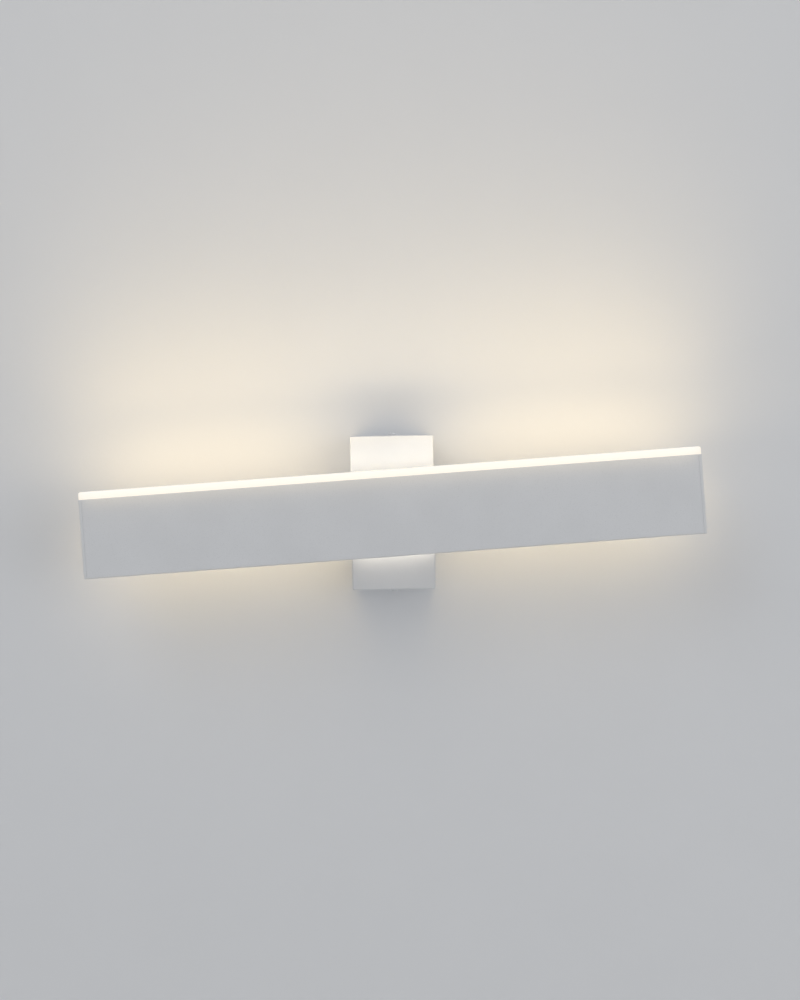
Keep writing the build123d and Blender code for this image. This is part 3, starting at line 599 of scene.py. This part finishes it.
class WallLightLook(bpy.types.PropertyGroup):
    """Sizes and colours that a user would change."""

    paint: bpy.props.FloatVectorProperty(
        name="Paint", description="Powder coat of the box and the bar", subtype="COLOR",
        default=(0.63, 0.645, 0.67), min=0, max=1,
    )
    roughness: bpy.props.FloatProperty(
        name="Paint roughness", description="Roughness of the powder coat", default=0.40, min=0, max=1,
        subtype="FACTOR",
    )
    glow: bpy.props.FloatVectorProperty(
        name="Glow", description="Light of the opal cover over its chips", subtype="COLOR",
        default=(1.0, 0.98, 0.92), min=0, max=1,
    )
    glow_warm: bpy.props.FloatVectorProperty(
        name="Glow at the edges", description="Light of the opal cover along its lower edges",
        subtype="COLOR", default=(1.0, 0.90, 0.74), min=0, max=1,
    )
    glow_strength: bpy.props.FloatProperty(
        name="Glow strength", description="How brightly the opal cover shows", default=0.665, min=0,
    )
    spill_colour: bpy.props.FloatVectorProperty(
        name="Colour of the light on the wall", description="Light that the cover throws",
        subtype="COLOR", default=(1.0, 0.75, 0.38), min=0, max=1,
    )
    spill: bpy.props.FloatProperty(
        name="Light on the wall", description="Radiance of the light that the cover throws", default=7.9,
        min=0,
    )
    screw_dome: bpy.props.FloatProperty(
        name="Screw dome", description="Height of the cover screws' heads", default=2.8 * MM,
        unit="LENGTH", subtype="DISTANCE",
    )
    screw_slot: bpy.props.FloatProperty(
        name="Screw slot", description="Width of the screws' slots", default=0.8 * MM,
        unit="LENGTH", subtype="DISTANCE",
    )


class WallLightStage(bpy.types.PropertyGroup):
    """Camera, studio light and backdrop."""

    distance: bpy.props.FloatProperty(
        name="Camera distance", description="From the camera to the bar's face", default=1.0,
        unit="LENGTH", subtype="DISTANCE",
    )
    lens: bpy.props.FloatProperty(
        name="Lens", description="Focal length", default=56.28, unit="CAMERA",
    )
    sideways: bpy.props.FloatProperty(
        name="Camera azimuth", description="How far the camera stands to the right",
        default=math.radians(0.37), unit="ROTATION", subtype="ANGLE",
    )
    height: bpy.props.FloatProperty(
        name="Camera elevation", description="How far the camera looks down",
        default=math.radians(0.05), unit="ROTATION", subtype="ANGLE",
    )
    roll: bpy.props.FloatProperty(
        name="Camera roll", description="How far the camera leans to its right",
        default=math.radians(1.034), unit="ROTATION", subtype="ANGLE",
    )
    aim: bpy.props.FloatVectorProperty(
        name="Aim", description="Point at the middle of the picture", default=(0.0052, -0.070, 0.00816),
        unit="LENGTH", subtype="XYZ",
    )
    ambient: bpy.props.FloatProperty(
        name="Ambient light", description="Even light from all round", default=0.575, min=0,
    )
    wall: bpy.props.FloatVectorProperty(
        name="Wall", description="Colour of the wall behind the light", subtype="COLOR",
        default=(0.695, 0.71, 0.735), min=0, max=1,
    )
    floor: bpy.props.FloatVectorProperty(
        name="Floor", description="Colour of the floor", subtype="COLOR", default=(0.75, 0.75, 0.75),
        min=0, max=1,
    )
    drop: bpy.props.FloatProperty(
        name="Floor below the light", description="From the swivel's axis down to the floor",
        default=0.45, unit="LENGTH", subtype="DISTANCE",
    )
    lamp_side: bpy.props.FloatProperty(
        name="Studio lamps", description="Side of each square studio lamp", default=1.6,
        unit="LENGTH", subtype="DISTANCE",
    )
    backdrop: bpy.props.FloatVectorProperty(
        name="Backdrop", description="Colour that shows where nothing stands", subtype="COLOR",
        default=(0.86, 0.865, 0.875), min=0, max=1,
    )


def look_of(context):
    """The settings of the light's finishes."""
    return context.scene.wall_light_look


# ---------------------------------------------------------------- pieces

HOUSING = ("base_cover", "bar_profile", "end_cap_left", "end_cap_right", "pivot_collar", "cover_screws",
           "end_cap_screws")
BRACKET = ("wall_bracket", "cable_grommet", "terminal_block", "terminal_tubes", "terminal_screws",
           "terminal_fixing_screws", "earth_tag", "earth_screw")
DRIVER = ("driver_case", "driver_lid", "driver_board", "driver_transformer", "driver_capacitors",
          "driver_filter", "driver_screws")
LEADS = ("live_lead", "neutral_lead", "earth_lead", "output_lead", "led_lead")
SWIVEL = ("pivot_bush", "friction_washer", "stop_pin", "pivot_stem", "stem_screws", "stop_washer",
          "disc_spring", "swivel_nuts")
ENGINE = ("led_tray", "led_board", "led_chips", "led_board_screws", "board_connector", "diffuser")


class WALLLIGHT_OT_housing(bpy.types.Operator):
    """Paints the box, the bar, its end caps and the collar between them"""

    bl_idname = "wall_light.housing"
    bl_label = "Painted housing"

    def execute(self, context):
        dress(HOUSING, look_of(context))
        return {"FINISHED"}


class WALLLIGHT_OT_cover_screws(bpy.types.Operator):
    """Makes the domed slotted screws on top of the box and under it"""

    bl_idname = "wall_light.cover_screws"
    bl_label = "Cover screws"

    def execute(self, context):
        look = look_of(context)
        low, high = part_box("base_cover")
        places, sizes = [], []
        for points in solids_of("cover_screws"):
            side = 1 if points[:, 2].mean() > 0 else -1
            seat = high[2] if side > 0 else low[2]
            middle = (points.min(0) + points.max(0)) / 2
            radius = (points[:, 0].max() - points[:, 0].min()) / 2
            reach = abs(points[:, 2] - seat) * (np.sign(points[:, 2] - seat) == -side)
            sizes.append((radius, reach.max()))
            places.append(place_on((middle[0], middle[1], seat), (0, 0, side), (1, 0, 0)))
        radius, length = np.mean(sizes, axis=0)
        slot_depth = look.screw_dome / 2
        grids = pan_screw(
            radius, look.screw_dome, look.screw_slot, slot_depth, COVER_SCREW_SHANK, length
        )
        piece = build("cover_screw_heads", grids, places, finish_of("white_screw", look))
        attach(piece, "base")
        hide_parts("cover_screws")
        return {"FINISHED"}


class WALLLIGHT_OT_end_screws(bpy.types.Operator):
    """Makes the countersunk slotted screws of the end caps"""

    bl_idname = "wall_light.end_screws"
    bl_label = "End cap screws"

    def execute(self, context):
        look = look_of(context)
        places = []
        for points, degrees in zip(solids_of("end_cap_screws"), END_SCREW_LEAN, strict=True):
            screw = levelled(points)
            low, high = screw.min(0), screw.max(0)
            side = 1 if low[0] > 0 else -1
            outside = high[0] if side > 0 else low[0]
            middle = (low + high) / 2
            lean = math.radians(degrees)
            across = (0, math.cos(lean), math.sin(lean))
            rim = (outside - side * END_SCREW_SUNK, middle[1], middle[2])
            places.append(BAR_TURN @ place_on(rim, (side, 0, 0), across))
        length = high[0] - low[0] - END_SCREW_SUNK
        grids = countersunk_screw(
            END_SCREW_HEAD, END_SCREW_DOME, look.screw_slot, END_SCREW_SLOT_DEPTH, END_SCREW_SHANK,
            length,
        )
        piece = build("end_cap_screw_heads", grids, places, finish_of("white_screw", look))
        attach(piece, "bar")
        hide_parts("end_cap_screws")
        return {"FINISHED"}


class WALLLIGHT_OT_bracket(bpy.types.Operator):
    """Finishes the wall bracket, the terminals and the earth tag"""

    bl_idname = "wall_light.bracket"
    bl_label = "Wall bracket"

    def execute(self, context):
        dress(BRACKET, look_of(context))
        return {"FINISHED"}


class WALLLIGHT_OT_grommet(bpy.types.Operator):
    """Makes the rubber grommet with its rolled rim"""

    bl_idname = "wall_light.grommet"
    bl_label = "Cable grommet"

    def execute(self, context):
        low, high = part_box("cable_grommet")
        rim = (high[0] - low[0]) / 2
        neck = rim - GROMMET_WALL
        bore = neck - GROMMET_WALL
        top = high[1] - low[1]
        bead = (top - BRACKET_SHEET) / 2
        lip = GROMMET_LIP
        profile = (
            arc((neck - lip, lip), lip, -90, 0)
            + [(neck, BRACKET_SHEET)]
            + arc((rim - bead, BRACKET_SHEET + bead), bead, -90, 90, 11)
            + arc((bore + lip, top - lip), lip, 90, 180)
            + arc((bore + lip, lip), lip, 180, 270)
        )
        rings = lathe(profile + profile[:1], 96)
        place = place_on((0, high[1], 0), (0, -1, 0), (1, 0, 0))
        rubber = finish_of("rubber_black", look_of(context))
        piece = build("cable_grommet_rim", [(rings, True)], [place], rubber)
        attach(piece, "base")
        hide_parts("cable_grommet")
        return {"FINISHED"}


class WALLLIGHT_OT_driver(bpy.types.Operator):
    """Finishes the driver's case and what is on its board"""

    bl_idname = "wall_light.driver"
    bl_label = "Driver"

    def execute(self, context):
        dress(DRIVER, look_of(context))
        return {"FINISHED"}


class WALLLIGHT_OT_leads(bpy.types.Operator):
    """Colours the insulation of the leads"""

    bl_idname = "wall_light.leads"
    bl_label = "Leads"

    def execute(self, context):
        dress(LEADS, look_of(context))
        return {"FINISHED"}


class WALLLIGHT_OT_swivel(bpy.types.Operator):
    """Finishes the swivel's stem, washers, spring, nuts and stop"""

    bl_idname = "wall_light.swivel"
    bl_label = "Swivel"

    def execute(self, context):
        dress(SWIVEL, look_of(context))
        return {"FINISHED"}


class WALLLIGHT_OT_engine(bpy.types.Operator):
    """Finishes the light engine and lights its opal cover"""

    bl_idname = "wall_light.engine"
    bl_label = "Light engine"

    def execute(self, context):
        dress(ENGINE, look_of(context))
        return {"FINISHED"}


def spill_lamp(name, ends, place, aim, height, spread, radiance, colour):
    """Area lamp that rides on the bar and shows only by its light.

    Its ends are along the bar, and its place and aim are (towards the wall, up) with the bar level.
    """
    data = bpy.data.lights.new(name, "AREA")
    data.shape = "RECTANGLE"
    data.size = ends[1] - ends[0]
    data.size_y = height
    data.color = tuple(colour)
    data.energy = radiance * math.pi * (ends[1] - ends[0]) * height
    data.spread = math.radians(spread)
    lamp = bpy.data.objects.new(name, data)
    middle = ((ends[0] + ends[1]) / 2, *place)
    lamp.matrix_world = BAR_TURN @ place_on(middle, (0, -aim[0], -aim[1]), (1, 0, 0))
    lamp.visible_camera = False
    lamp.visible_glossy = False
    bpy.context.scene.collection.objects.link(lamp)
    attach(lamp, "bar")


class WALLLIGHT_OT_spill(bpy.types.Operator):
    """Adds the lamps that throw the opal cover's light on the wall and the box"""

    bl_idname = "wall_light.spill"
    bl_label = "Light on the wall"

    def execute(self, context):
        look = look_of(context)
        low, high = level_box("diffuser")
        bar_low, bar_high = level_box("bar_profile")
        rim = bar_high[2]
        half = (high[0] - low[0]) / 2
        depth = high[1] - low[1]
        stand = high[2] - rim
        clear = 0.4 * MM
        top = ((low[1] + high[1]) / 2, high[2] + clear)  # over the cover
        back = (high[1] + clear, rim + stand / 2)  # behind the cover
        front = (bar_low[1] - 6.5 * MM, rim + MM)  # in front of the bar's upper edge
        gap = (bar_high[1] + MM, bar_low[2] + 6 * MM)  # behind the bar, over its lower edge
        warm, white = look.spill_colour, look.glow_warm
        # name, ends in halves of the cover's length, place, aim, height, spread in degrees,
        # share of the full radiance, colour
        lamps = (
            ("spill_up_left", (-1.05, -0.24), top, (0, 1), depth, 180, 0.68, warm),
            ("spill_up_middle", (-0.24, 0.24), top, (0, 1), depth, 180, 0.36, white),
            ("spill_up_right", (0.24, 1.05), top, (0, 1), depth, 180, 0.68, warm),
            ("spill_far", (-1.05, 1.05), top, (0.15, 1), depth, 90, 0.72, warm),
            ("spill_back_left", (-1, -0.22), back, (1, 0), stand, 180, 1.2, warm),
            ("spill_back_middle", (-0.22, 0.22), back, (1, 0), stand, 180, 0.25, white),
            ("spill_back_right", (0.22, 1), back, (1, 0), stand, 180, 1.2, warm),
            ("spill_down", (-1, 1), back, (0.65, -0.76), stand, 90, 1.7, warm),
            ("spill_gap", (-0.14, 0.14), gap, (1, -0.8), stand, 180, 0.8, white),
            ("spill_front", (-0.98, 0.98), front, (1, -0.4), stand, 180, 0.085, warm),
        )
        for name, halves, place, aim, height, spread, share, colour in lamps:
            ends = [end * half for end in halves]
            spill_lamp(name, ends, place, aim, height, spread, share * look.spill, colour)
        return {"FINISHED"}


# ---------------------------------------------------------------- stage


def flat_sheet(name, corners, material):
    """Flat stage piece with four corners, in a left turn as seen from its front."""
    mesh = bpy.data.meshes.new(name)
    mesh.from_pydata(corners, [], [(0, 1, 2, 3)])
    mesh.materials.append(material)
    made = bpy.data.objects.new(name, mesh)
    bpy.context.scene.collection.objects.link(made)


def aimed(place, target):
    """Matrix at a place whose -Z looks at the target."""
    back = (Vector(place) - Vector(target)).normalized()
    right = Vector((0, 0, 1)).cross(back).normalized()
    up = back.cross(right)
    return Matrix.Translation(Vector(place)) @ Matrix((right, up, back)).transposed().to_4x4()


def add_camera(scene, stage):
    """Camera that looks at the aim from the settings' distance and angles."""
    data = bpy.data.cameras.new("camera")
    data.sensor_width = 36
    data.lens = stage.lens
    camera = bpy.data.objects.new("camera", data)
    a, e = stage.sideways, stage.height
    back = Vector((math.sin(a) * math.cos(e), -math.cos(a) * math.cos(e), math.sin(e)))
    view = aimed(Vector(stage.aim) + back * stage.distance, stage.aim)
    camera.matrix_world = view @ Matrix.Rotation(-stage.roll, 4, "Z")
    scene.collection.objects.link(camera)
    scene.camera = camera


def add_studio_lamps(scene, stage):
    """Three soft lamps, each with its place and radiance, aimed at the middle of the light."""
    side = stage.lamp_side
    for name, place, radiance in (
        ("key", (-1.5, -2.0, 1.9), 1.6),
        ("fill", (1.9, -2.0, 0.1), 1.25),
        ("rear", (0.9, 2.2, 1.6), 1.7),
    ):
        data = bpy.data.lights.new(name, "AREA")
        data.shape = "SQUARE"
        data.size = side
        data.energy = radiance * math.pi * side**2
        lamp = bpy.data.objects.new(name, data)
        lamp.matrix_world = aimed(place, (0, -0.04, 0))
        lamp.visible_camera = False
        scene.collection.objects.link(lamp)


def add_floor(stage):
    """Pale floor that fades into the backdrop far from the light."""
    net = material_net("stage_floor")
    grain = net.noise(14 * MM, detail=5.0)
    tone = net.mix(grain, tint(tuple(stage.floor), 0.985), tuple(stage.floor))
    sheet = net.node("ShaderNodeBsdfDiffuse", None, {"Color": tone})
    away = net.math("SQRT", net.part(net.place, "X") ** 2 + net.part(net.place, "Y") ** 2)
    clear = net.node("ShaderNodeBsdfTransparent")
    material = net.shown(net.blend(away.over(1.0, 3.6), sheet, clear))
    side, low = 3.8, -stage.drop
    corners = ((-side, -side, low), (side, -side, low), (side, side, low), (-side, side, low))
    flat_sheet("stage_floor", corners, material)


def add_wall(stage):
    """Rolled wall behind the light, which shows its front alone.

    The camera sees it whole, light that bounces off a dull surface meets half of it, and all other
    light passes through it, so the studio lights the object from all round.
    """
    net = material_net("stage_wall")
    roller = net.noise(1.6 * MM, detail=3.0)
    patch = net.noise(60 * MM, detail=3.0)
    tone = net.mix(patch, tint(tuple(stage.wall), 0.975), tuple(stage.wall))
    relief = net.bump(roller, 0.05 * MM, 0.5)
    paint = net.node("ShaderNodeBsdfDiffuse", None, {"Color": tone, "Normal": relief})
    camera = net.node("ShaderNodeLightPath", out="Is Camera Ray")
    bounced = net.node("ShaderNodeLightPath", out="Is Diffuse Ray")
    front = 1 - net.node("ShaderNodeNewGeometry", out="Backfacing")
    seen = net.math("MAXIMUM", camera, bounced * 0.5) * front
    material = net.shown(net.blend(seen, net.node("ShaderNodeBsdfTransparent"), paint))
    side, low, back = 4.0, -stage.drop, 0.6 * MM
    corners = ((-side, back, low), (side, back, low), (side, back, side), (-side, back, side))
    flat_sheet("stage_wall", corners, material)


def add_world(scene, stage):
    """Even white light from all round, and the backdrop where the camera, metal or glass looks."""
    scene.world = bpy.data.worlds.new("studio")
    net = Net(scene.world, "ShaderNodeOutputWorld")
    light = {"Color": (1.0, 1.0, 1.0, 1.0), "Strength": stage.ambient}
    even = net.node("ShaderNodeBackground", None, light)
    backdrop = net.node("ShaderNodeBackground", None, {"Color": (*stage.backdrop, 1.0)})
    camera = net.node("ShaderNodeLightPath", out="Is Camera Ray")
    mirrored = net.node("ShaderNodeLightPath", out="Is Glossy Ray")
    refracted = net.node("ShaderNodeLightPath", out="Is Transmission Ray")
    looking = net.math("MAXIMUM", net.math("MAXIMUM", camera, mirrored), refracted)
    net.shown(net.blend(looking, even, backdrop))


class WALLLIGHT_OT_stage(bpy.types.Operator):
    """Sets up the camera, the studio light, the floor and the wall behind the light"""

    bl_idname = "wall_light.stage"
    bl_label = "Stage"

    def execute(self, context):
        scene = context.scene
        stage = scene.wall_light_stage
        scene.view_settings.view_transform = "Standard"
        add_camera(scene, stage)
        add_studio_lamps(scene, stage)
        add_floor(stage)
        add_wall(stage)
        add_world(scene, stage)
        return {"FINISHED"}


OPERATORS = (
    WALLLIGHT_OT_housing,
    WALLLIGHT_OT_cover_screws,
    WALLLIGHT_OT_end_screws,
    WALLLIGHT_OT_bracket,
    WALLLIGHT_OT_grommet,
    WALLLIGHT_OT_driver,
    WALLLIGHT_OT_leads,
    WALLLIGHT_OT_swivel,
    WALLLIGHT_OT_engine,
    WALLLIGHT_OT_spill,
    WALLLIGHT_OT_stage,
)


class WALLLIGHT_PT_sidebar(bpy.types.Panel):
    """Panel that lists the pieces and their settings."""

    bl_idname = "WALLLIGHT_PT_sidebar"
    bl_label = "Wall Light"
    bl_space_type = "VIEW_3D"
    bl_region_type = "UI"
    bl_category = "Wall Light"

    def draw(self, context):
        for operator in OPERATORS:
            self.layout.operator(operator.bl_idname)
        for group in (context.scene.wall_light_look, context.scene.wall_light_stage):
            for name in group.bl_rna.properties.keys():
                if name not in ("rna_type", "name"):
                    self.layout.prop(group, name)


CLASSES = (WallLightLook, WallLightStage, *OPERATORS, WALLLIGHT_PT_sidebar)


def register():
    """Registers the classes and their settings."""
    for cls in CLASSES:
        bpy.utils.register_class(cls)
    bpy.types.Scene.wall_light_look = bpy.props.PointerProperty(type=WallLightLook)
    bpy.types.Scene.wall_light_stage = bpy.props.PointerProperty(type=WallLightStage)


def unregister():
    """Removes what register added."""
    del bpy.types.Scene.wall_light_stage
    del bpy.types.Scene.wall_light_look
    for cls in reversed(CLASSES):
        bpy.utils.unregister_class(cls)


def main():
    """Makes every piece in order."""
    register()
    for operator in OPERATORS:
        group, name = operator.bl_idname.split(".")
        getattr(getattr(bpy.ops, group), name)()


if __name__ == "__main__":
    main()
